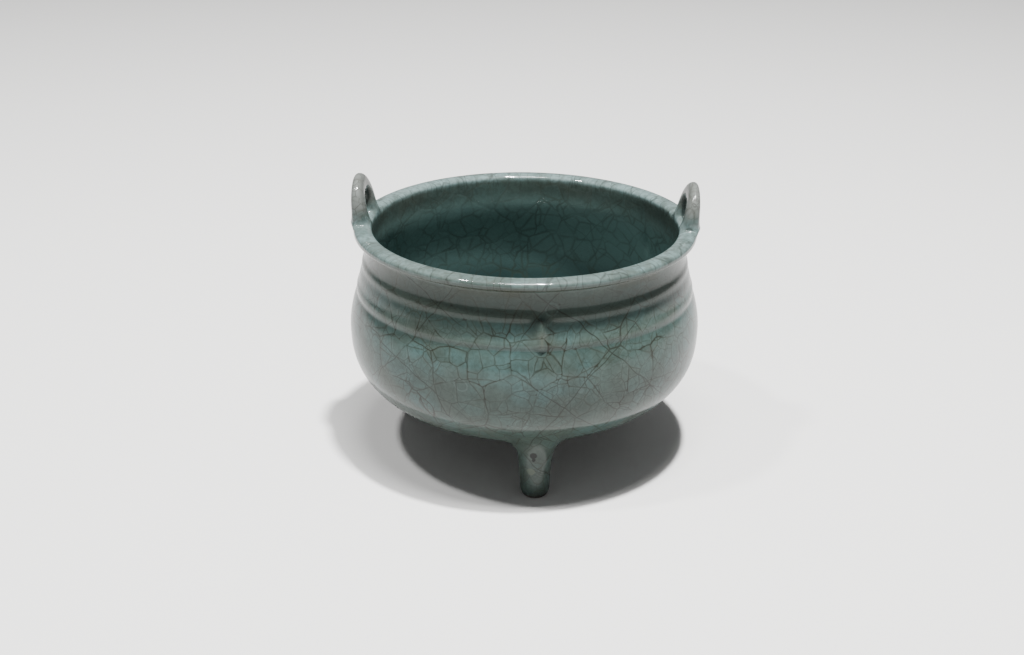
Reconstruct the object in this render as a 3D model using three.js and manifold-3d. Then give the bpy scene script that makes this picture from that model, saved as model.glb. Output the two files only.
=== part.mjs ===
// A celadon tripod censer in the shape of a ding: a squat thrown bowl with an everted lip, two upright
// loop handles luted to the lip, a shoulder between two raised string lines, three short ribs on that
// shoulder and a stubby foot under each rib. It was joined wet, glazed and fired as one piece, so it is one
// solid. Millimetres, +Z up, origin on the bowl's axis at the level that the feet stand on, front along -Y.
import * as THREE from "three";
import { mergeVertices } from "three/addons/utils/BufferGeometryUtils.js";
import Module from "manifold-3d";

// Lip
const lipRadius = 74; // axis to the outer edge
const lipWidth = 8; // mouth to outer edge
const lipOverhang = 4; // past the neck
const lipEdge = 4.6; // thickness of the rounded edge

// Neck and shoulder
const neckHeight = 15.9; // lip's top to the upper string line
const neckWaist = 0.5; // depth of the neck's hollow
const shoulderHeight = 10.9; // upper to lower string line
const shoulderFlare = 2.6; // gain of radius over the shoulder
const stringRise = 0.7; // how far each string line stands out
const stringHalfWidth = 1.7;

// Bowl
const bellySwell = 4.0; // gain of radius from the lower string line to the widest place
const bellyHeight = 18.3; // lower string line to the widest place
const bowlDepth = 41; // widest place to the middle of the underside
const bowlSquareness = 2.6; // power of the superellipse that the underside follows
const clearance = 16.9; // underside to the table
const wall = 5; // at the belly
const floorThickness = 6.5;

// Feet
const footCount = 3;
const footCircle = 54.8; // axis to each foot's middle
const footRadius = 6.3; // near its tip
const footTaper = 0.9; // gain of radius from the tip to the hollow curve
const footPadRadius = 4.3; // flat bare clay that it stands on
const footPadRound = 4.6; // height over which the tip rounds in to the pad
const footFillet = 7.5; // hollow curve where the foot spreads into the bowl
const footTurn = 5; // degrees, of the front foot from the front

// Ribs on the shoulder, one above each foot
const ribRise = 1.5;
const ribHalfWidth = 1.9;
const ribOverrun = 1.2; // past the string line at each end

// Handles
const handleHalfSpan = 9.6; // middle of the handle to the middle of a leg
const handleDepth = 7.8; // across the lip, at the foot of a leg
const handleCrownDepth = 5.6; // across the lip, at the crown
const handleThickness = 8.5; // along the lip
const handleLean = 2; // how far the crown leans out
const handleSpread = 0.18; // share by which a leg widens where it is luted down
const handleSpreadHeight = 2.4;
const handles = [
  { angle: -96, height: 18.6 }, // degrees from the front, to the right; lip's top to the crown
  { angle: 91, height: 17 },
];

// Fineness of the facets
const bowlSegments = 60;
const footSegments = 16;
const handleSteps = 22;
const bowlSteps = 11;
const floorSteps = 8;

// Places worked out from the sizes above
const embed = 0.4; // how deep a luted piece reaches into what it joins, past its fillet
const neckRadius = lipRadius - lipOverhang;
const mouthRadius = lipRadius - lipWidth;
const stringRadius = neckRadius + shoulderFlare;
const bellyRadius = stringRadius + bellySwell;
const bellyLevel = clearance + bowlDepth;
const lowerString = bellyLevel + bellyHeight;
const upperString = lowerString + shoulderHeight;
const lipLevel = upperString + neckHeight;
const neckWall = neckRadius - mouthRadius;

const radians = THREE.MathUtils.degToRad;
const mix = THREE.MathUtils.lerp;
const steps = (count) => Array.from({ length: count + 1 }, (_, i) => i / count);

const wasm = await Module();
wasm.setup();

// Height of a superellipse bowl of the given radius and depth, hung from a level
function bowlHeight(r, radius, depth, level) {
  const share = Math.min(r / radius, 1);
  return level - depth * (1 - share ** bowlSquareness) ** (1 / bowlSquareness);
}

// Quarter superellipse from the middle of the underside to the widest place
function bowlCurve(radius, depth, level, count) {
  return steps(count).map((t) => {
    const r = radius * Math.sin((t * Math.PI) / 2) ** (2 / bowlSquareness);
    const drop = depth * Math.cos((t * Math.PI) / 2) ** (2 / bowlSquareness);
    return [r, level - drop];
  });
}

// A raised string line: a low rounded ridge on a wall that runs from one radius to another
function stringLine(radius, level) {
  return [-1, -0.5, 0, 0.5, 1].map((t) => [
    radius + stringRise * Math.cos((t * Math.PI) / 2) ** 2,
    level + t * stringHalfWidth,
  ]);
}

function outerProfile() {
  const belly = [0.3, 0.6, 0.85].map((t) => [
    bellyRadius - bellySwell * t ** 1.8,
    bellyLevel + bellyHeight * t,
  ]);
  const shoulder = [0.25, 0.5, 0.75].map((t) => [
    mix(stringRadius, neckRadius, t ** 1.7),
    mix(lowerString, upperString, t),
  ]);
  const neckTop = lipLevel - lipEdge;
  const neck = [0.3, 0.55, 0.8].map((t) => [
    neckRadius - neckWaist * Math.sin(t * Math.PI),
    mix(upperString + stringHalfWidth, neckTop, t),
  ]);
  return [
    ...bowlCurve(bellyRadius, bowlDepth, bellyLevel, bowlSteps),
    ...belly,
    ...stringLine(stringRadius, lowerString),
    ...shoulder,
    ...stringLine(neckRadius, upperString),
    ...neck,
    ...lipProfile(),
  ];
}

// The lip from its underside at the neck, round its edge and over its top to the mouth
function lipProfile() {
  const half = lipEdge / 2;
  const edge = [-80, -45, 0, 40, 75].map((a) => [
    lipRadius - half + half * Math.cos(radians(a)),
    lipLevel - half + half * Math.sin(radians(a)),
  ]);
  const mouth = [95, 130, 165].map((a) => [
    mouthRadius + half - half * -Math.cos(radians(a)),
    lipLevel - half + half * Math.sin(radians(a)),
  ]);
  return [...edge, ...mouth];
}

// The inside from the mouth down to the middle of the floor, a wall away from the outside
function innerProfile() {
  const innerBelly = bellyRadius - wall;
  const innerDepth = bowlDepth - floorThickness;
  const bowl = bowlCurve(innerBelly, innerDepth, bellyLevel, floorSteps).reverse();
  const widening = [0.3, 0.6, 0.85].map((t) => [
    mix(mouthRadius, innerBelly, t),
    mix(upperString, bellyLevel, t ** 1.4),
  ]);
  return [[mouthRadius, lipLevel - lipEdge], [mouthRadius, upperString], ...widening, ...bowl];
}

function lathe(profile, segments = bowlSegments) {
  const points = profile.map(([r, z]) => new THREE.Vector2(Math.max(r, 0), z));
  points[0].x = 0;
  points[points.length - 1].x = 0;
  return new THREE.LatheGeometry(points, segments).rotateX(Math.PI / 2);
}

// A closed geometry as a manifold solid
function solid(geometry) {
  const bare = geometry.clone().deleteAttribute("normal").deleteAttribute("uv");
  const merged = mergeVertices(bare, 1e-4);
  const made = new wasm.Manifold(
    new wasm.Mesh({
      numProp: 3,
      vertProperties: merged.attributes.position.array,
      triVerts: new Uint32Array(merged.index.array),
    }),
  );
  return made;
}

function toGeometry(manifold) {
  const mesh = manifold.getMesh();
  return new THREE.BufferGeometry()
    .setAttribute("position", new THREE.BufferAttribute(mesh.vertProperties, 3))
    .setIndex(new THREE.BufferAttribute(mesh.triVerts, 1));
}

// Turns a piece that was made at the front, round the axis, by an angle to the right
const turned = (geometry, degrees) => geometry.rotateZ(radians(degrees));

// Moves each point of a geometry by a function of it
function shaped(geometry, move) {
  const position = geometry.attributes.position;
  const point = new THREE.Vector3();
  for (let i = 0; i < position.count; i++) {
    move(point.fromBufferAttribute(position, i));
    position.setXYZ(i, point.x, point.y, point.z);
  }
  return geometry;
}

// A foot: a round peg with a rounded tip, whose top spreads out in a hollow curve that follows the bowl
function footGeometry() {
  const seat = bowlHeight(footCircle, bellyRadius, bowlDepth, bellyLevel);
  const tip = [0, 0.3, 0.6, 0.85, 1].map((t) => [
    mix(footPadRadius, footRadius, Math.sin((t * Math.PI) / 2)),
    footPadRound * (1 - Math.cos((t * Math.PI) / 2)),
  ]);
  const spread = steps(6).map((t) => [
    footRadius + footTaper + footFillet * (1 - Math.cos((t * Math.PI) / 2)),
    seat - footFillet * (1 - Math.sin((t * Math.PI) / 2)) + embed * t ** 4,
  ]);
  const profile = [[0, 0], ...tip, ...spread, [0, seat + embed]];
  const peg = lathe(profile, footSegments);
  return shaped(peg.translate(0, -footCircle, 0), (p) => {
    const share = THREE.MathUtils.smoothstep(p.z, seat - 2 * footFillet, seat - footFillet / 2);
    const here = bowlHeight(Math.hypot(p.x, p.y), bellyRadius, bowlDepth, bellyLevel);
    p.z += share * (here - seat);
  });
}

// A rib: a low upright ridge over the shoulder, between the two string lines
function ribGeometry() {
  const halfHeight = shoulderHeight / 2 + ribOverrun;
  const lean = Math.atan2(shoulderFlare, shoulderHeight);
  return new THREE.SphereGeometry(1, 12, 14)
    .rotateX(Math.PI / 2)
    .scale(ribHalfWidth, ribRise * 2, halfHeight)
    .rotateX(-lean)
    .translate(0, ribRise - (neckRadius + stringRadius) / 2 - ribRise * 0.9, (upperString + lowerString) / 2);
}

// A handle: a strap bent into an arch that stands on the lip, wider where its legs are luted down
function handleGeometry(height) {
  const root = lipEdge * 0.7;
  const crown = height - handleThickness / 2;
  const springing = Math.max(crown - handleHalfSpan, 0);
  const arch = steps(12).map((t) => {
    const a = Math.PI * (1 - t);
    return new THREE.Vector3(handleHalfSpan * Math.cos(a), 0, mix(springing, crown, Math.sin(a)));
  });
  const foot = (side) => new THREE.Vector3(side * handleHalfSpan, 0, -root);
  const path = new THREE.CatmullRomCurve3([foot(-1), ...arch, foot(1)]);
  const section = new THREE.Shape();
  section.absellipse(0, 0, handleThickness / 2, handleDepth / 2, 0, 2 * Math.PI);
  const strap = new THREE.ExtrudeGeometry(section, {
    steps: handleSteps,
    extrudePath: path,
    curveSegments: 6,
  });
  const middle = lipRadius - lipWidth / 2;
  return shaped(strap, (p) => {
    const share = THREE.MathUtils.clamp(p.z / height, 0, 1);
    const sunk = THREE.MathUtils.clamp(-p.z / root, 0, 1);
    const spread = 1 + handleSpread * Math.exp(-Math.max(p.z, 0) / handleSpreadHeight) * (1 - sunk);
    p.y *= spread * mix(1, handleCrownDepth / handleDepth, share) * mix(1, 0.6, sunk ** 2);
    p.y -= middle + handleLean * share;
    p.z += lipLevel;
  });
}

function censer() {
  const footTurns = steps(footCount - 1).map((_, i) => footTurn + (i * 360) / footCount);
  const pieces = [
    ...footTurns.map((a) => solid(turned(footGeometry(), a))),
    ...footTurns.map((a) => solid(turned(ribGeometry(), a))),
    ...handles.map(({ angle, height }) => solid(turned(handleGeometry(height), angle))),
  ];
  const inside = innerProfile();
  const bowl = solid(lathe([...outerProfile(), ...inside]));
  const hollow = solid(lathe([...inside.map(([r, z]) => [r, z]).reverse(), [0, lipLevel - lipEdge]]));
  const made = pieces.reduce((whole, piece) => whole.add(piece.subtract(hollow)), bowl);
  return toGeometry(made);
}

const glaze = new THREE.MeshStandardMaterial({ color: 0x8fa8a2, roughness: 0.22, metalness: 0 });
const mesh = new THREE.Mesh(censer(), glaze);
mesh.name = "censer";

const part = new THREE.Group();
part.add(mesh);
export default part;
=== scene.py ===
"""A celadon tripod censer: a thrown bowl with luted loop handles, ribs and feet, under a crackled glaze."""

import math

import bmesh
import bpy
from mathutils import Matrix, Vector, noise


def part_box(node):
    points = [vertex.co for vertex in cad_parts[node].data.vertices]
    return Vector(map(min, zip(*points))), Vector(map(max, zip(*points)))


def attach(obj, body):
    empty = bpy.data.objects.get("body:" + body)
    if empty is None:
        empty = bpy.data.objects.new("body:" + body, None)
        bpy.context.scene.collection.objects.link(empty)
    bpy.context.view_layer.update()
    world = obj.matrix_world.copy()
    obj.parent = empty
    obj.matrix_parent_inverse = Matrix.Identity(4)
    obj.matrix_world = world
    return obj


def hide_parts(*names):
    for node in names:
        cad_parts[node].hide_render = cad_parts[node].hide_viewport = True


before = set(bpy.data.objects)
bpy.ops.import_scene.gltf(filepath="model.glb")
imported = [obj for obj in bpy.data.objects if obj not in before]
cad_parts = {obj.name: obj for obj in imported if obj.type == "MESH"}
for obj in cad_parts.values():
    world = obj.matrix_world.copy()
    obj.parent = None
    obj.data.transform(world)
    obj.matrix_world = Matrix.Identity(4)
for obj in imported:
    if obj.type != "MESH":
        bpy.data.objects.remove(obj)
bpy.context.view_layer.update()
mm = 0.001

# The clay body: one bowl thrown on the wheel, with an everted lip, a short neck, a shoulder between two
# soft string lines and a low full belly over a flattened underside. The ribs, feet and handles are luted on
# wet and smoothed in, so the whole piece is one skin. It starts as an outline spun round the bowl's axis.
low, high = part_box("censer")
belly_radius = (high[0] - low[0]) / 2
lip_radius = 74 * mm
lip_width = 8 * mm
lip_thickness = 4.6 * mm
lip_level = 103 * mm
neck_radius = lip_radius - 4 * mm
neck_waist = 0.5 * mm
upper_line = lip_level - 15.9 * mm
lower_line = upper_line - 10.9 * mm
shoulder_radius = neck_radius + 2.6 * mm
line_rise = 0.62 * mm
line_half_width = 2.5 * mm
belly_level = lower_line - 18.3 * mm
bowl_depth = 41 * mm
bowl_squareness = 2.6
wall = 5 * mm
floor_thickness = 6.5 * mm
mouth_radius = lip_radius - lip_width
front_turn = math.radians(5)
columns = 216
column = math.tau / columns


def smooth(low_edge, high_edge, value):
    """0 below one edge, 1 above the other, and an even curve between."""
    share = min(max((value - low_edge) / (high_edge - low_edge), 0), 1)
    return share * share * (3 - 2 * share)


def mix(a, b, share):
    return a + (b - a) * share


def bowl_height(radius):
    """Height of the bowl's underside at a distance from the axis."""
    share = min(radius / belly_radius, 1)
    return belly_level - bowl_depth * (1 - share**bowl_squareness) ** (1 / bowl_squareness)


def bowl_curve(widest, depth, count):
    """The rounded bottom from the axis out to the widest place."""
    power = 2 / bowl_squareness
    points = []
    for i in range(count + 1):
        turn = i / count * math.pi / 2
        radius = widest * math.sin(turn) ** power
        points.append((radius, belly_level - depth * max(math.cos(turn), 0) ** power))
    return points


def string_line(level, height):
    """How far a soft raised line stands out of the wall at a height."""
    away = (height - level) / line_half_width
    return line_rise * math.exp(-2.2 * away * away)


def wall_radius(height):
    """The outside from the widest place up to the lip's underside."""
    rise = (height - belly_level) / (lower_line - belly_level)
    if rise < 1:
        base = belly_radius - (belly_radius - shoulder_radius) * max(rise, 0) ** 1.8
    elif height < upper_line:
        share = (height - lower_line) / (upper_line - lower_line)
        base = mix(shoulder_radius, neck_radius, share**1.5)
    else:
        share = (height - upper_line) / (lip_level - lip_thickness - upper_line)
        base = neck_radius - neck_waist * math.sin(min(share, 1) * math.pi)
    crease = 0.3 * mm * math.exp(-(((height - lower_line) / mm + 2.6) ** 2) / 1.2)
    return base + string_line(lower_line, height) + string_line(upper_line, height) - crease


def lip_curve():
    """Round the lip, from its underside over its edge and top to the mouth."""
    half = lip_thickness / 2
    middle = lip_radius - lip_width / 2
    points = []
    for i in range(19):
        turn = math.radians(mix(-62, 176, i / 18))
        across = math.copysign(abs(math.cos(turn)) ** 0.8, math.cos(turn))
        up = math.copysign(abs(math.sin(turn)) ** 0.8, math.sin(turn))
        points.append((middle + lip_width / 2 * across, lip_level - half + half * up))
    return points


def inner_curve():
    """The inside, from under the mouth down to the middle of the floor."""
    inner_radius = belly_radius - wall
    neck = [(mouth_radius + 0.1 * mm * i, lip_level - lip_thickness * 0.9 - i * 2.6 * mm) for i in range(5)]
    widening = []
    for i in range(1, 6):
        share = i / 6
        drop = mix(neck[-1][1], belly_level, share)
        widening.append((mix(neck[-1][0], inner_radius, math.sin(share * math.pi / 2) ** 1.3), drop))
    bottom = bowl_curve(inner_radius, bowl_depth - floor_thickness, 9)
    return neck + widening + bottom[::-1]


wall_levels = [mix(belly_level, lower_line - 3.6 * mm, i / 7) for i in range(1, 7)]
wall_levels += [mix(lower_line - 3.6 * mm, upper_line + 3 * mm, i / 20) for i in range(21)]
wall_levels += [mix(upper_line + 3 * mm, lip_level - lip_thickness - 0.4 * mm, i / 5) for i in range(1, 6)]
outline = bowl_curve(belly_radius, bowl_depth, 23)
outline += [(wall_radius(level), level) for level in wall_levels]
outline += lip_curve() + inner_curve()

clay = bmesh.new()
disc = clay.verts.layers.float_vector.new("disc")
seam = []
for row, (radius, level) in enumerate(outline):
    point = (radius * math.sin(front_turn), -radius * math.cos(front_turn), level)
    seam.append(clay.verts.new(point))
    seam[-1][disc] = (0, 0, row)
strip = [clay.edges.new(pair) for pair in zip(seam, seam[1:])]
bmesh.ops.spin(
    clay,
    geom=seam + strip,
    cent=(0, 0, 0),
    axis=(0, 0, 1),
    angle=math.tau,
    steps=columns,
    use_merge=True,
)
bmesh.ops.remove_doubles(clay, verts=clay.verts[:], dist=1e-6)
bmesh.ops.recalc_face_normals(clay, faces=clay.faces[:])


def azimuth(point):
    """The angle round the axis from the front, towards the right."""
    return math.atan2(point.x, -point.y)


def turn_from(angle, point):
    """How far a point lies round the axis from an angle."""
    return (azimuth(point) - angle + math.pi) % math.tau - math.pi


def normal_of(faces):
    return sum((face.normal for face in faces), Vector())


def mark_disc(faces, angle):
    """Gives each corner of a block of the spun grid its place on a round disc, across and outward."""
    corners = {v for face in faces for v in face.verts}
    turns = {v: turn_from(angle, v.co) for v in corners}
    rows = {v: v[disc].z for v in corners}
    reach = max(turns.values())
    first, last = min(rows.values()), max(rows.values())
    outward = 1 if normal_of(faces).z < 0 else -1
    for v in corners:
        across = turns[v] / reach
        out = (2 * (rows[v] - first) / (last - first) - 1) * outward
        v[disc].x = across * math.sqrt(1 - out * out / 2)
        v[disc].y = out * math.sqrt(1 - across * across / 2)
    return corners


def draw_out(faces, rings):
    """Draws a block of faces out through rings of places, and returns the faces at its end."""
    for place in rings:
        grown = bmesh.ops.extrude_face_region(clay, geom=faces)["geom"]
        bmesh.ops.delete(clay, geom=[f for f in faces if f.is_valid], context="FACES_ONLY")
        faces = [item for item in grown if isinstance(item, bmesh.types.BMFace)]
        for v in grown:
            if isinstance(v, bmesh.types.BMVert):
                v.co = place(v[disc].x, v[disc].y)
    return faces


# Three feet: solid pegs rolled from the same clay, a foot under each rib. They are drawn out of the belly,
# so that each spreads into it in a hollow curve, and end in a rounded tip on a small flat sole.
foot_circle = 54.8 * mm
foot_radius = 6.3 * mm
foot_taper = 0.9 * mm
foot_fillet = 7.5 * mm
sole_radius = 4.3 * mm
sole_round = 4.6 * mm
foot_block_columns = 9
foot_block_depth = 13.6 * mm
foot_turns = [front_turn + i * math.tau / 3 for i in range(3)]


def foot_place(angle, radius, level, follow):
    """A ring of a foot: its radius and height, and how far its height follows the bowl above."""
    across = Vector((math.cos(angle), math.sin(angle), 0))
    out = Vector((math.sin(angle), -math.cos(angle), 0))

    def place(a, b):
        point = out * (foot_circle + radius * b) + across * radius * a
        lift = bowl_height(point.xy.length) - bowl_height(foot_circle)
        return Vector((point.x, point.y, level + follow * lift))

    return place


def foot_rings(angle):
    seat = bowl_height(foot_circle)
    shank = seat - foot_fillet
    rings = []
    for i in range(6, -1, -1):
        turn = i / 7 * math.pi / 2
        radius = foot_radius + foot_taper + foot_fillet * (1 - math.cos(turn))
        level = seat - foot_fillet * (1 - math.sin(turn))
        rings.append(foot_place(angle, radius, level, smooth(0, 1, math.sin(turn) * 0.8 + 0.2)))
    for i in range(1, 6):
        share = i / 5
        radius = foot_radius + foot_taper * (1 - share) ** 1.6
        follow = smooth(0, 1, 0.2) * max(1 - 2 * share, 0)
        rings.append(foot_place(angle, radius, mix(shank, sole_round, share), follow))
    for i in range(1, 6):
        turn = i / 5 * math.pi / 2
        radius = mix(sole_radius, foot_radius, math.cos(turn) ** 0.9 if i < 5 else 0)
        rings.append(foot_place(angle, radius, sole_round * (1 - math.sin(turn)), 0))
    return rings


for angle in foot_turns:
    block = []
    for face in clay.faces:
        middle = face.calc_center_median()
        beside = abs(turn_from(angle, middle)) < foot_block_columns * column
        over = abs(middle.xy.length - foot_circle) < foot_block_depth
        if face.normal.z < -0.2 and beside and over and middle.z < belly_level:
            block.append(face)
    widest = foot_place(angle, foot_radius + foot_taper + foot_fillet, bowl_height(foot_circle), 1)
    for corner in mark_disc(block, angle):
        corner.co = widest(corner[disc].x, corner[disc].y)
    draw_out(block, foot_rings(angle))

# Two loop handles: straps of clay bent into arches, luted upright on the lip and leaning out a little. Each
# leg spreads where it was pressed down, and is drawn out of the lip up to the crown, where the two meet.
handle_half_span = 9.6 * mm
handle_depth = 7.8 * mm
handle_crown_depth = 5 * mm
leg_thickness = 8 * mm
crown_thickness = 8.9 * mm
handle_lean = 2.5 * mm
leg_share = 0.36
leg_rings = 14
leg_columns = (2, 7)
leg_middle = sum(leg_columns) / 2
leg_spread = 1.12
handles = ((-60, 18.6 * mm), (52, 17 * mm))


def handle_place(angle, side, height, along):
    """A ring of a handle's leg, along from the lip at 0 to the crown at 1."""
    tangent = Vector((math.cos(angle), math.sin(angle), 0))
    out = Vector((math.sin(angle), -math.cos(angle), 0))
    crown = height - crown_thickness / 2
    springing = crown - handle_half_span
    bend = max(along - leg_share, 0) / (1 - leg_share) * math.pi / 2
    shift = handle_half_span * math.cos(bend)
    level = springing * min(along / leg_share, 1) + handle_half_span * math.sin(bend)
    thick = mix(leg_thickness, crown_thickness, along) / 2 * (1 + 0.25 * math.exp(-level / (1.8 * mm)))
    sharpness = 0.5 * smooth(0, 4 * mm, level) * (1 - 0.7 * along)
    waist = 1 + 0.2 * math.exp(-level / (2.2 * mm)) - 0.05 * math.exp(-(((level / mm - 4.5) / 2.5) ** 2))
    deep = mix(handle_depth, handle_crown_depth, level / crown) / 2 * waist

    def place(a, b):
        square = 1 + sharpness * (a * b) ** 2
        away = a * square * side * thick
        point = tangent * side * (shift + away * math.cos(bend))
        rise = level + away * math.sin(bend)
        lean = handle_lean * max(rise / height, 0) ** 1.2
        point += out * (lip_radius - lip_width / 2 + b * square * deep + lean)
        return point + Vector((0, 0, lip_level + rise))

    return place


for step, height in handles:
    angle = front_turn + step * column
    crowns = []
    for side in (-1, 1):
        block = []
        for face in clay.faces:
            middle = face.calc_center_median()
            away = turn_from(angle, middle) / column * side
            top = middle.z > lip_level - lip_thickness * 0.42 and middle.z < lip_level + 0.1 * mm
            if leg_columns[0] < away < leg_columns[1] and top:
                block.append(face)
        leg = angle + side * math.asin(handle_half_span / (lip_radius - lip_width / 2))
        block_middle = angle + side * leg_middle * column
        for corner in mark_disc(block, block_middle):
            turn = turn_from(block_middle, corner.co) * leg_spread
            reach = corner.co.xy.length
            corner.co.x = reach * math.sin(leg + turn)
            corner.co.y = -reach * math.cos(leg + turn)
        rings = [handle_place(angle, side, height, i / (leg_rings - 1)) for i in range(leg_rings)]
        crowns += draw_out(block, rings)
    edge = list({v for face in crowns for v in face.verts})
    bmesh.ops.delete(clay, geom=crowns, context="FACES_ONLY")
    bmesh.ops.remove_doubles(clay, verts=[v for v in edge if v.is_valid], dist=0.02 * mm)
loose = [v for v in clay.verts if not v.link_faces]
bmesh.ops.delete(clay, geom=loose, context="VERTS")
bmesh.ops.recalc_face_normals(clay, faces=clay.faces[:])

# Where the glaze is thick and where it is thin: each vertex keeps three shares, one for the inside of the
# bowl, one for the hollows where glaze pools, which also carries painted shade under the lip, and one for
# the edges and ridges that it runs off.
inside = clay.verts.layers.float.new("inside")
pool_and_shade = clay.verts.layers.float.new("pool_and_shade")
thin = clay.verts.layers.float.new("thin")
first_inner_row = len(outline) - len(inner_curve())
for v in clay.verts:
    reach = v.co.xy.length
    v[inside] = smooth(first_inner_row - 3, first_inner_row + 2, v[disc].z)
    if v[inside] < 0.5 and reach > neck_radius - 1.5 * mm:
        level = v.co.z
        v[thin] = (string_line(lower_line, level) + string_line(upper_line, level)) / line_rise
        # Two bands of painted shade, just below and just above the upper string line, where the lip's shadow
        # falls, and a darker crease under the lower line.
        v[pool_and_shade] = 0.95 * math.exp(-(((level - upper_line) / mm + 4) ** 2) / 5)
        v[pool_and_shade] += 0.8 * math.exp(-(((level - upper_line) / mm - 3.4) ** 2) / 3)
        v[pool_and_shade] += 0.7 * math.exp(-(((level - lower_line) / mm + 2.9) ** 2) / 2)
    if v.co.z > lip_level + 1.5 * mm:
        v[thin] = 0.6 * smooth(1.5 * mm, 9 * mm, v.co.z - lip_level)

# Three ribs: short upright ridges pinched up on the shoulder, from the upper string line, which fades out
# beside them, down to the lower one. The clay's columns are gathered in first, so that each ridge is fine.
rib_rise = 2.0 * mm
rib_width = 1.2 * mm

for v in clay.verts:
    reach = v.co.xy.length
    if reach < neck_radius - 1.5 * mm or not lower_line - 6 * mm < v.co.z < upper_line + 6 * mm:
        continue
    angle = min(foot_turns, key=lambda turn: abs(turn_from(turn, v.co)))
    away = turn_from(angle, v.co) * reach
    gather = smooth(lower_line - 6 * mm, lower_line - 2 * mm, v.co.z) * smooth(
        upper_line + 6 * mm, upper_line + 2 * mm, v.co.z
    )
    away *= 1 - 0.5 * gather * math.exp(-((away / (5.5 * mm)) ** 2))
    share = (v.co.z - lower_line) / (upper_line - lower_line)
    width = rib_width * (1 + 0.25 * (1 - smooth(-0.25, 0.12, share)))
    height = smooth(-0.24, 0.02, share) * (1 - smooth(0.80, 0.95, share))
    ridge = math.exp(-(abs(away / width) ** 3))
    rise = (rib_rise * height - 0.8 * string_line(lower_line, v.co.z)) * ridge
    rise -= string_line(upper_line, v.co.z) * 0.9 * math.exp(-((away / (3.4 * mm)) ** 2))
    reach += rise
    v[thin] = max(v[thin], 3 * height * ridge)
    # The pool share also darkens the rib's head, where it meets the upper line, and a little at its foot.
    ends = math.exp(-(((share - 0.98) / 0.16) ** 2) - (away / (2.6 * mm)) ** 2)
    ends += 0.25 * math.exp(-(((share + 0.24) / 0.08) ** 2) - (away / (1.5 * mm)) ** 2)
    v[pool_and_shade] = min(v[pool_and_shade] + 1.6 * ends, 2)
    v.co.x = reach * math.sin(angle + away / reach)
    v.co.y = -reach * math.cos(angle + away / reach)

# The hand of the potter: the wall wavers by a tenth of a millimetre or two round the wheel's true circle.
for v in clay.verts:
    waver = noise.noise(v.co * 22) * 0.16 * mm + noise.noise(v.co * 70) * 0.05 * mm
    v.co += v.co.normalized() * waver * smooth(2 * mm, 12 * mm, v.co.z)

skin = bpy.data.meshes.new("censer_body")
clay.to_mesh(skin)
clay.free()
censer = bpy.data.objects.new("censer_body", skin)
bpy.context.scene.collection.objects.link(censer)
for face in skin.polygons:
    face.use_smooth = True
smoothing = censer.modifiers.new("fine", "SUBSURF")
smoothing.levels = 1
smoothing.render_levels = 1

# The glaze: a thick, milky grey-green celadon with a glossy skin. It pools bluer and darker in hollows, runs
# thin and brown under the lip and greyer on the handles, and is crazed all over in brown-stained cracks.
# Light and shade are painted into it too: shade under the lip and on the bowl's floor, light on the shoulder
# and the inside walls, and a rim that is darker at the front.
glaze = bpy.data.materials.new("celadon_glaze")
glaze.use_nodes = True
tree = glaze.node_tree
shader = tree.nodes["Principled BSDF"]


def put(kind, inputs, settings=None, out=0):
    """Adds a node to the glaze, with its inputs set to values or joined to other nodes."""
    made = tree.nodes.new("ShaderNode" + kind)
    for name, value in (settings or {}).items():
        setattr(made, name, value)
    for key, value in inputs.items():
        if isinstance(value, bpy.types.NodeSocket):
            tree.links.new(value, made.inputs[key])
        else:
            made.inputs[key].default_value = value
    return made.outputs[out]


def work(operation, *values):
    return put("Math", dict(enumerate(values)), {"operation": operation})


def ramp(value, start, end, low_value=0.0, high_value=1.0):
    """An even curve from the low value, where the input is at the start, to the high one at the end."""
    ends = {"From Min": start, "From Max": end, "To Min": low_value, "To Max": high_value}
    return put("MapRange", {"Value": value, **ends}, {"interpolation_type": "SMOOTHSTEP"})


def cloud(place, scale, detail=2.0):
    return put("TexNoise", {"Vector": place, "Scale": scale, "Detail": detail})


def bent(place, scale, amount):
    """The same place pushed about, so that what is drawn there wanders."""
    push = put("TexNoise", {"Vector": place, "Scale": scale, "Detail": 2.0}, out=1)
    centred = put("VectorMath", {0: push, 1: (0.5, 0.5, 0.5)}, {"operation": "SUBTRACT"})
    scaled = put("VectorMath", {0: centred, 3: 2 * amount}, {"operation": "SCALE"})
    return put("VectorMath", {0: place, 1: scaled}, {"operation": "ADD"})


def edge_of_cells(place, scale):
    cells = put("TexVoronoi", {"Vector": place, "Scale": scale}, {"feature": "DISTANCE_TO_EDGE"})
    return work("DIVIDE", cells, scale)


def crack_edge(place, scale):
    """How far the nearest cell wall is along the surface, also where it cuts the surface at a slant."""
    depth_step = 0.15 * mm
    here = edge_of_cells(place, scale)
    step = put("VectorMath", {0: normal, 3: depth_step}, {"operation": "SCALE"})
    there = edge_of_cells(put("VectorMath", {0: place, 1: step}, {"operation": "ADD"}), scale)
    slope = work("DIVIDE", work("SUBTRACT", there, here), depth_step)
    share = work("MAXIMUM", work("SUBTRACT", 1.0, work("MULTIPLY", slope, slope)), 0.04)
    return work("DIVIDE", here, work("SQRT", share))


def line(edge, half_width):
    return ramp(edge, half_width, 0.0)


def tint(share, under, over, how="MIX"):
    """Lays one colour over another by a share."""
    return put("Mix", {0: share, 6: under, 7: over}, {"data_type": "RGBA", "blend_type": how}, out=2)


def attribute(name):
    return put("Attribute", {}, {"attribute_name": name}, out=2)


def band(foot, full, fading, gone):
    """1 between two heights, and an even fall to 0 below and above them."""
    return work("MULTIPLY", ramp(level, foot, full), ramp(level, gone, fading))


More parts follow.
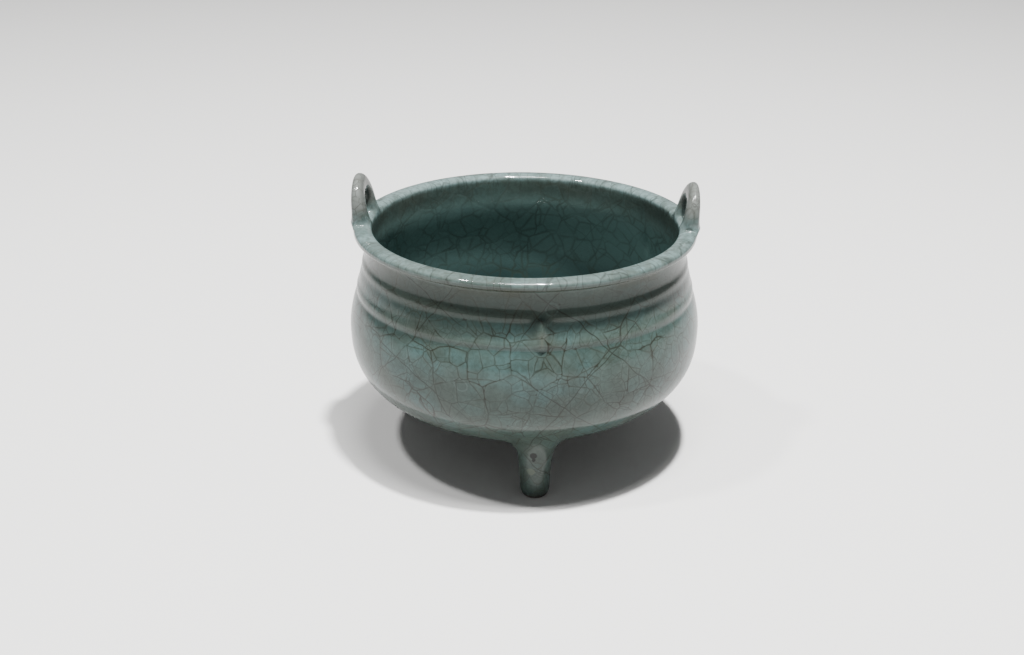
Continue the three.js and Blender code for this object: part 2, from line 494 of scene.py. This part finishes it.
place = put("TexCoord", {}, out=3)
normal = put("TexCoord", {}, out=1)
parts = put("SeparateXYZ", {0: place}).node.outputs
across, depth, level = parts[0], parts[1], parts[2]
reach = work("SQRT", work("ADD", work("MULTIPLY", across, across), work("MULTIPLY", depth, depth)))
broad = bent(place, 16, 5 * mm)
near = bent(broad, 75, 1.9 * mm)
inner = attribute("inside")
pooled_and_shaded = attribute("pool_and_shade")
thinned = attribute("thin")
handle = ramp(level, lip_level + 2 * mm, lip_level + 8 * mm)

thick = (0.036, 0.066, 0.064, 1)
plain = (0.037, 0.056, 0.049, 1)
greyed = (0.034, 0.044, 0.037, 1)
pale = (0.104, 0.146, 0.145, 1)
handle_tone = (0.084, 0.086, 0.081, 1)
brown = (0.023, 0.026, 0.017, 1)
stain = (0.008, 0.008, 0.005, 1)

# Painted light: over the upper belly and shoulder the patches lean a little towards the brighter teal and
# away from the grey, for how the light falls there.
shoulder_painted_light = band(belly_level - 8 * mm, belly_level + 4 * mm, 84 * mm, 92 * mm)
patches = work("ADD", cloud(place, 24, 3), work("MULTIPLY", shoulder_painted_light, 0.05))
colour = tint(ramp(patches, 0.50, 0.62), plain, thick)
dulled = work("SUBTRACT", cloud(broad, 38), work("MULTIPLY", shoulder_painted_light, 0.05))
colour = tint(ramp(dulled, 0.42, 0.56, 0, 0.85), colour, greyed)
# The rim is paler where its glaze runs thin; the paleness fading towards the front is painted shade.
rim = band(99.5 * mm, 101.5 * mm, 104 * mm, 108 * mm)
colour = tint(work("MULTIPLY", rim, ramp(depth, -74 * mm, -5 * mm, 0.38, 0.85)), colour, pale)

# The crackle comes in steps, as it does in the kiln: long curved cracks, a wide net, and then finer nets,
# each of which stops at the cracks of the one before, because its pattern is shifted from cell to cell.
long_edges = []
for direction, spacing in (((0.62, 0.25, 0.74), 29 * mm), ((-0.78, 0.22, 0.59), 33 * mm)):
    along = put("VectorMath", {0: near, 1: direction}, {"operation": "DOT_PRODUCT"}, out=1)
    long_edges.append(work("PINGPONG", along, spacing / 2))
long_edge = work("MINIMUM", *long_edges)
wide_scale = 60.0
wide_edge = crack_edge(near, wide_scale)
wide_cell = put("TexVoronoi", {"Vector": near, "Scale": wide_scale}, out=1)
net_shift = put("VectorMath", {0: wide_cell, 3: 0.05}, {"operation": "SCALE"})
net_place = put("VectorMath", {0: near, 1: net_shift}, {"operation": "ADD"})
net_scale = 125.0
net_edge = crack_edge(net_place, net_scale)
net_cell = put("TexVoronoi", {"Vector": net_place, "Scale": net_scale}, out=1)
net_grey = put("SeparateColor", {0: net_cell})
colour = tint(0.25, colour, tint(net_grey, greyed, thick))
main_edge = work("MINIMUM", wide_edge, net_edge)
colour = tint(ramp(main_edge, 1.2 * mm, 0.4 * mm, 0, 0.07), colour, pale)

colour = tint(ramp(cloud(broad, 120, 4), 0.44, 0.62, 0, 0.45), colour, (0.024, 0.034, 0.029, 1))
freckles = cloud(place, 620, 2)
colour = tint(ramp(freckles, 0.42, 0.62, 0, 0.3), colour, (0.020, 0.028, 0.023, 1))
colour = tint(work("MULTIPLY", thinned, 0.17), colour, (0.066, 0.071, 0.056, 1))
colour = tint(work("MULTIPLY", handle, 0.75), colour, handle_tone)
# Darker and bluer where the pool share is high: glaze pooled in the hollows, and painted shade in the bands
# under the lip.
colour = tint(work("MINIMUM", work("MULTIPLY", pooled_and_shaded, 0.6), 0.9), colour, (0.014, 0.030, 0.028, 1))
under_lip = band(lip_level - 10 * mm, lip_level - 7 * mm, 98.5 * mm, 101.5 * mm)
outer = ramp(reach, neck_radius - 2 * mm, neck_radius - 1 * mm)
outer = work("MULTIPLY", outer, work("SUBTRACT", 1.0, inner))
under_lip = work("MULTIPLY", work("MULTIPLY", under_lip, outer), ramp(cloud(place, 45), 0.36, 0.60))
colour = tint(work("MULTIPLY", under_lip, 0.75), colour, brown)
lip_corner = 99.1 * mm
lip_edge = ramp(work("ABSOLUTE", work("SUBTRACT", level, lip_corner)), 0.8 * mm, 0.1 * mm, 0, 0.75)
colour = tint(work("MULTIPLY", lip_edge, outer), colour, (0.020, 0.017, 0.011, 1))
# Painted light: the inside walls below the mouth are lightened towards a pale teal, as if more light reached
# them.
inner_wall_painted_light = work("MULTIPLY", inner, ramp(level, lip_level - 5 * mm, lip_level - 22 * mm, 0, 0.85))
colour = tint(inner_wall_painted_light, colour, (0.085, 0.150, 0.141, 1))
# Painted shade: the lower inside and the floor of the bowl are darkened, less so on the left and at the very
# bottom, over the patch the lamps light.
floor_painted_shade = work("MULTIPLY", inner, ramp(level, 76 * mm, 48 * mm, 0, 0.95))
floor_painted_shade = work("MULTIPLY", floor_painted_shade, ramp(level, 36 * mm, 43 * mm, 0.75, 1.0))
floor_painted_shade = work("MULTIPLY", floor_painted_shade, ramp(across, -72 * mm, -46 * mm, 0.2, 1.0))
colour = tint(floor_painted_shade, colour, (0.0055, 0.014, 0.0135, 1))
# Painted shade: the outside of the neck under the lip is darkened, where the lip's shadow falls.
neck = band(83 * mm, 88 * mm, 93 * mm, 97 * mm)
colour = tint(work("MULTIPLY", work("MULTIPLY", neck, outer), 0.6), colour, (0.018, 0.026, 0.021, 1))

uneven = ramp(cloud(place, 95), 0.36, 0.60, 0.25, 1.0)
calm = ramp(level, lower_line, lip_level - 4 * mm, 1.0, 0.4)
calm = work("MULTIPLY", calm, ramp(level, 20 * mm, 32 * mm, 0.4, 1.0))
off_rim = work("MAXIMUM", ramp(level, 96 * mm, 98.5 * mm, 1.0, 0.1), work("MULTIPLY", handle, 0.7))
calm = work("MULTIPLY", calm, off_rim)
long_share = work("MULTIPLY", ramp(cloud(place, 16), 0.40, 0.52, 0.0, 1.0), off_rim)
long_cracks = work("MULTIPLY", line(long_edge, 0.36 * mm), long_share)
wide_cracks = work("MULTIPLY", line(wide_edge, 0.42 * mm), work("MULTIPLY", uneven, calm))
net_share = work("MULTIPLY", ramp(cloud(place, 48), 0.36, 0.60, 0.35, 0.80), calm)
net_cracks = work("MULTIPLY", line(net_edge, 0.30 * mm), net_share)
fine_shift = put("VectorMath", {0: net_cell, 3: 0.03}, {"operation": "SCALE"})
fine_edge = crack_edge(put("VectorMath", {0: near, 1: fine_shift}, {"operation": "ADD"}), 230)
fine_share = ramp(cloud(place, 33), 0.42, 0.60, 0.18, 0.50)
fine_share = work("MAXIMUM", work("MULTIPLY", handle, 0.75), work("MULTIPLY", fine_share, off_rim))
fine_cracks = work("MULTIPLY", line(fine_edge, 0.22 * mm), fine_share)
near_parts = put("SeparateXYZ", {0: near}).node.outputs
turned = work("ARCTAN2", near_parts[0], work("MULTIPLY", near_parts[1], -1.0))
arc = work("MULTIPLY", turned, lip_radius)
draw = 0.22
rim_place = put("CombineXYZ", {0: arc, 1: work("MULTIPLY", reach, draw), 2: work("MULTIPLY", level, draw)})
rim_share = band(97 * mm, 99 * mm, 104 * mm, 109 * mm)
rim_edge = edge_of_cells(rim_place, 185)
rim_cracks = work("MULTIPLY", line(rim_edge, 0.22 * mm), work("MULTIPLY", rim_share, 0.7))
cracks = work("MAXIMUM", work("MAXIMUM", long_cracks, wide_cracks), work("MAXIMUM", net_cracks, rim_cracks))
cracks = work("MAXIMUM", cracks, fine_cracks)
cracks = work("MULTIPLY", cracks, work("SUBTRACT", 0.76, work("MULTIPLY", inner, 0.52)))

specks = put("TexVoronoi", {"Vector": place, "Scale": 150.0}).node
speck_share = put("SeparateColor", {0: specks.outputs[1]})
speck_size = ramp(speck_share, 0.88, 1.0, 0.0, 0.09)
dots = work("LESS_THAN", specks.outputs[0], speck_size)

rings = put("TexVoronoi", {"Vector": near, "Scale": 80.0}).node
ring_share = put("SeparateColor", {0: rings.outputs[1]})
ring = ramp(work("ABSOLUTE", work("SUBTRACT", rings.outputs[0], 0.22)), 0.045, 0.005)
ring = work("MULTIPLY", ring, ramp(ring_share, 0.76, 0.84, 0, 0.16))
colour = tint(work("MULTIPLY", ring, work("SUBTRACT", calm, inner)), colour, pale)

knots = ramp(work("ADD", wide_edge, net_edge), 1.0 * mm, 0.3 * mm)
knots = work("MULTIPLY", knots, work("MULTIPLY", calm, work("SUBTRACT", 1.0, work("MULTIPLY", inner, 0.85))))
colour = tint(work("MULTIPLY", knots, ramp(cloud(place, 60), 0.42, 0.60, 0.1, 0.8)), colour, stain)
halo = ramp(main_edge, 1.1 * mm, 0.1 * mm, 0, 0.3)
colour = tint(work("MULTIPLY", halo, uneven), colour, brown)
colour = tint(cracks, colour, stain)
colour = tint(work("MULTIPLY", dots, 0.7), colour, stain)

# Kiln marks on the front foot: an iron spot that has run a little, and a yellowish one under it. The glaze
# burns brown where it ends above the bare soles.
for spot, size, tone in (
    ((3.9, -62.5, 21.5), 1.8, (0.002, 0.003, 0.002, 1)),
    ((4.1, -62.0, 19.4), 1.0, (0.002, 0.003, 0.002, 1)),
    ((2.9, -61.0, 13.6), 2.0, (0.050, 0.062, 0.048, 1)),
):
    middle = tuple(value * mm for value in spot)
    away = put("VectorMath", {0: bent(place, 400, 0.5 * mm), 1: middle}, {"operation": "DISTANCE"}, out=1)
    colour = tint(ramp(away, size * mm, size * 0.7 * mm), colour, tone)
burn = ramp(work("ADD", level, work("MULTIPLY", cloud(place, 260), 1.4 * mm)), 2.6 * mm, 1.5 * mm)
colour = tint(burn, colour, (0.030, 0.020, 0.014, 1))
tree.links.new(colour, shader.inputs["Base Color"])

peel = work("MULTIPLY", cloud(place, 150, 1), 0.10 * mm)
peel = work("ADD", peel, work("MULTIPLY", cloud(place, 700, 1), 0.012 * mm))
domes = work("ADD", peel, ramp(wide_edge, 0.0, 1.4 * mm, 0, 0.02 * mm))
bump = put("Bump", {"Height": domes, "Distance": 1.0, "Strength": 0.7})
tree.links.new(bump, shader.inputs["Normal"])
tree.links.new(bump, shader.inputs["Coat Normal"])
shader.inputs["Roughness"].default_value = 0.5
shader.inputs["Specular IOR Level"].default_value = 0.06
gloss = work("ADD", ramp(floor_painted_shade, 0.3, 0.8, 0.5, 0.06), work("MULTIPLY", rim, 0.5))
tree.links.new(gloss, shader.inputs["Coat Weight"])
shader.inputs["Coat IOR"].default_value = 1.4
shader.inputs["Coat Roughness"].default_value = 0.04
skin.materials.append(glaze)

# The bare soles: dark stoneware without a glaze.
sole = bpy.data.materials.new("bare_clay")
sole.use_nodes = True
sole_shader = sole.node_tree.nodes["Principled BSDF"]
sole_shader.inputs["Base Color"].default_value = (0.030, 0.021, 0.016, 1)
sole_shader.inputs["Roughness"].default_value = 0.9
skin.materials.append(sole)
for face in skin.polygons:
    if face.center.z < 0.6 * mm:
        face.material_index = 1

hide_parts("censer")
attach(censer, "root")

# The camera: the photograph's own place and lens, looking 23 degrees down on the piece from the front.
eye_distance = 614 * mm
eye_height = lip_level + 210.5 * mm
eye_side = -5.4 * mm
lens = bpy.data.cameras.new("camera")
lens.sensor_width = 36
lens.lens = 52.73
camera = bpy.data.objects.new("camera", lens)
look_down = 22.99
roll = 0.45
aim = Matrix.Rotation(math.radians(90 - look_down), 4, "X") @ Matrix.Rotation(math.radians(roll), 4, "Z")
camera.matrix_world = Matrix.Translation((eye_side, -eye_distance, eye_height)) @ aim
bpy.context.scene.collection.objects.link(camera)
bpy.context.scene.camera = camera

# The floor: one plain pale sheet, and a plain grey room round it.
sheet = bmesh.new()
bmesh.ops.create_grid(sheet, x_segments=1, y_segments=1, size=4)
floor_mesh = bpy.data.meshes.new("floor")
sheet.to_mesh(floor_mesh)
sheet.free()
floor = bpy.data.objects.new("floor", floor_mesh)
bpy.context.scene.collection.objects.link(floor)
paper = bpy.data.materials.new("pale_paper")
paper.use_nodes = True
paper_shader = paper.node_tree.nodes["Principled BSDF"]
paper_shader.inputs["Base Color"].default_value = (0.49, 0.487, 0.477, 1)
paper_shader.inputs["Roughness"].default_value = 0.9
floor_mesh.materials.append(paper)

room = bpy.data.worlds.new("room")
room.use_nodes = True
room.node_tree.nodes["Background"].inputs["Color"].default_value = (0.42, 0.42, 0.43, 1)
room.node_tree.nodes["Background"].inputs["Strength"].default_value = 0.72
bpy.context.scene.world = room

# The lights: a strong lamp almost straight above, a little in front and to the right, a weaker one well
# over to the left, whose shadow falls beside the first one's, and a faint strip for the gloss on the rim.
lit_middle = Vector((0, 0, 0.06))
for name, spot, length, width, power in (
    ("lamp_above", (0.145, -0.19, 1.5), 0.09, 0.09, 94),
    ("lamp_left", (-0.64, -0.25, 1.5), 0.13, 0.13, 24),
    ("lamp_strip", (0.0, -0.30, 1.45), 0.50, 0.10, 24),
):
    lamp = bpy.data.lights.new(name, "AREA")
    lamp.shape = "ELLIPSE"
    lamp.size = length
    lamp.size_y = width
    lamp.energy = power
    holder = bpy.data.objects.new(name, lamp)
    holder.location = spot
    holder.rotation_euler = (lit_middle - Vector(spot)).to_track_quat("-Z", "Y").to_euler()
    bpy.context.scene.collection.objects.link(holder)
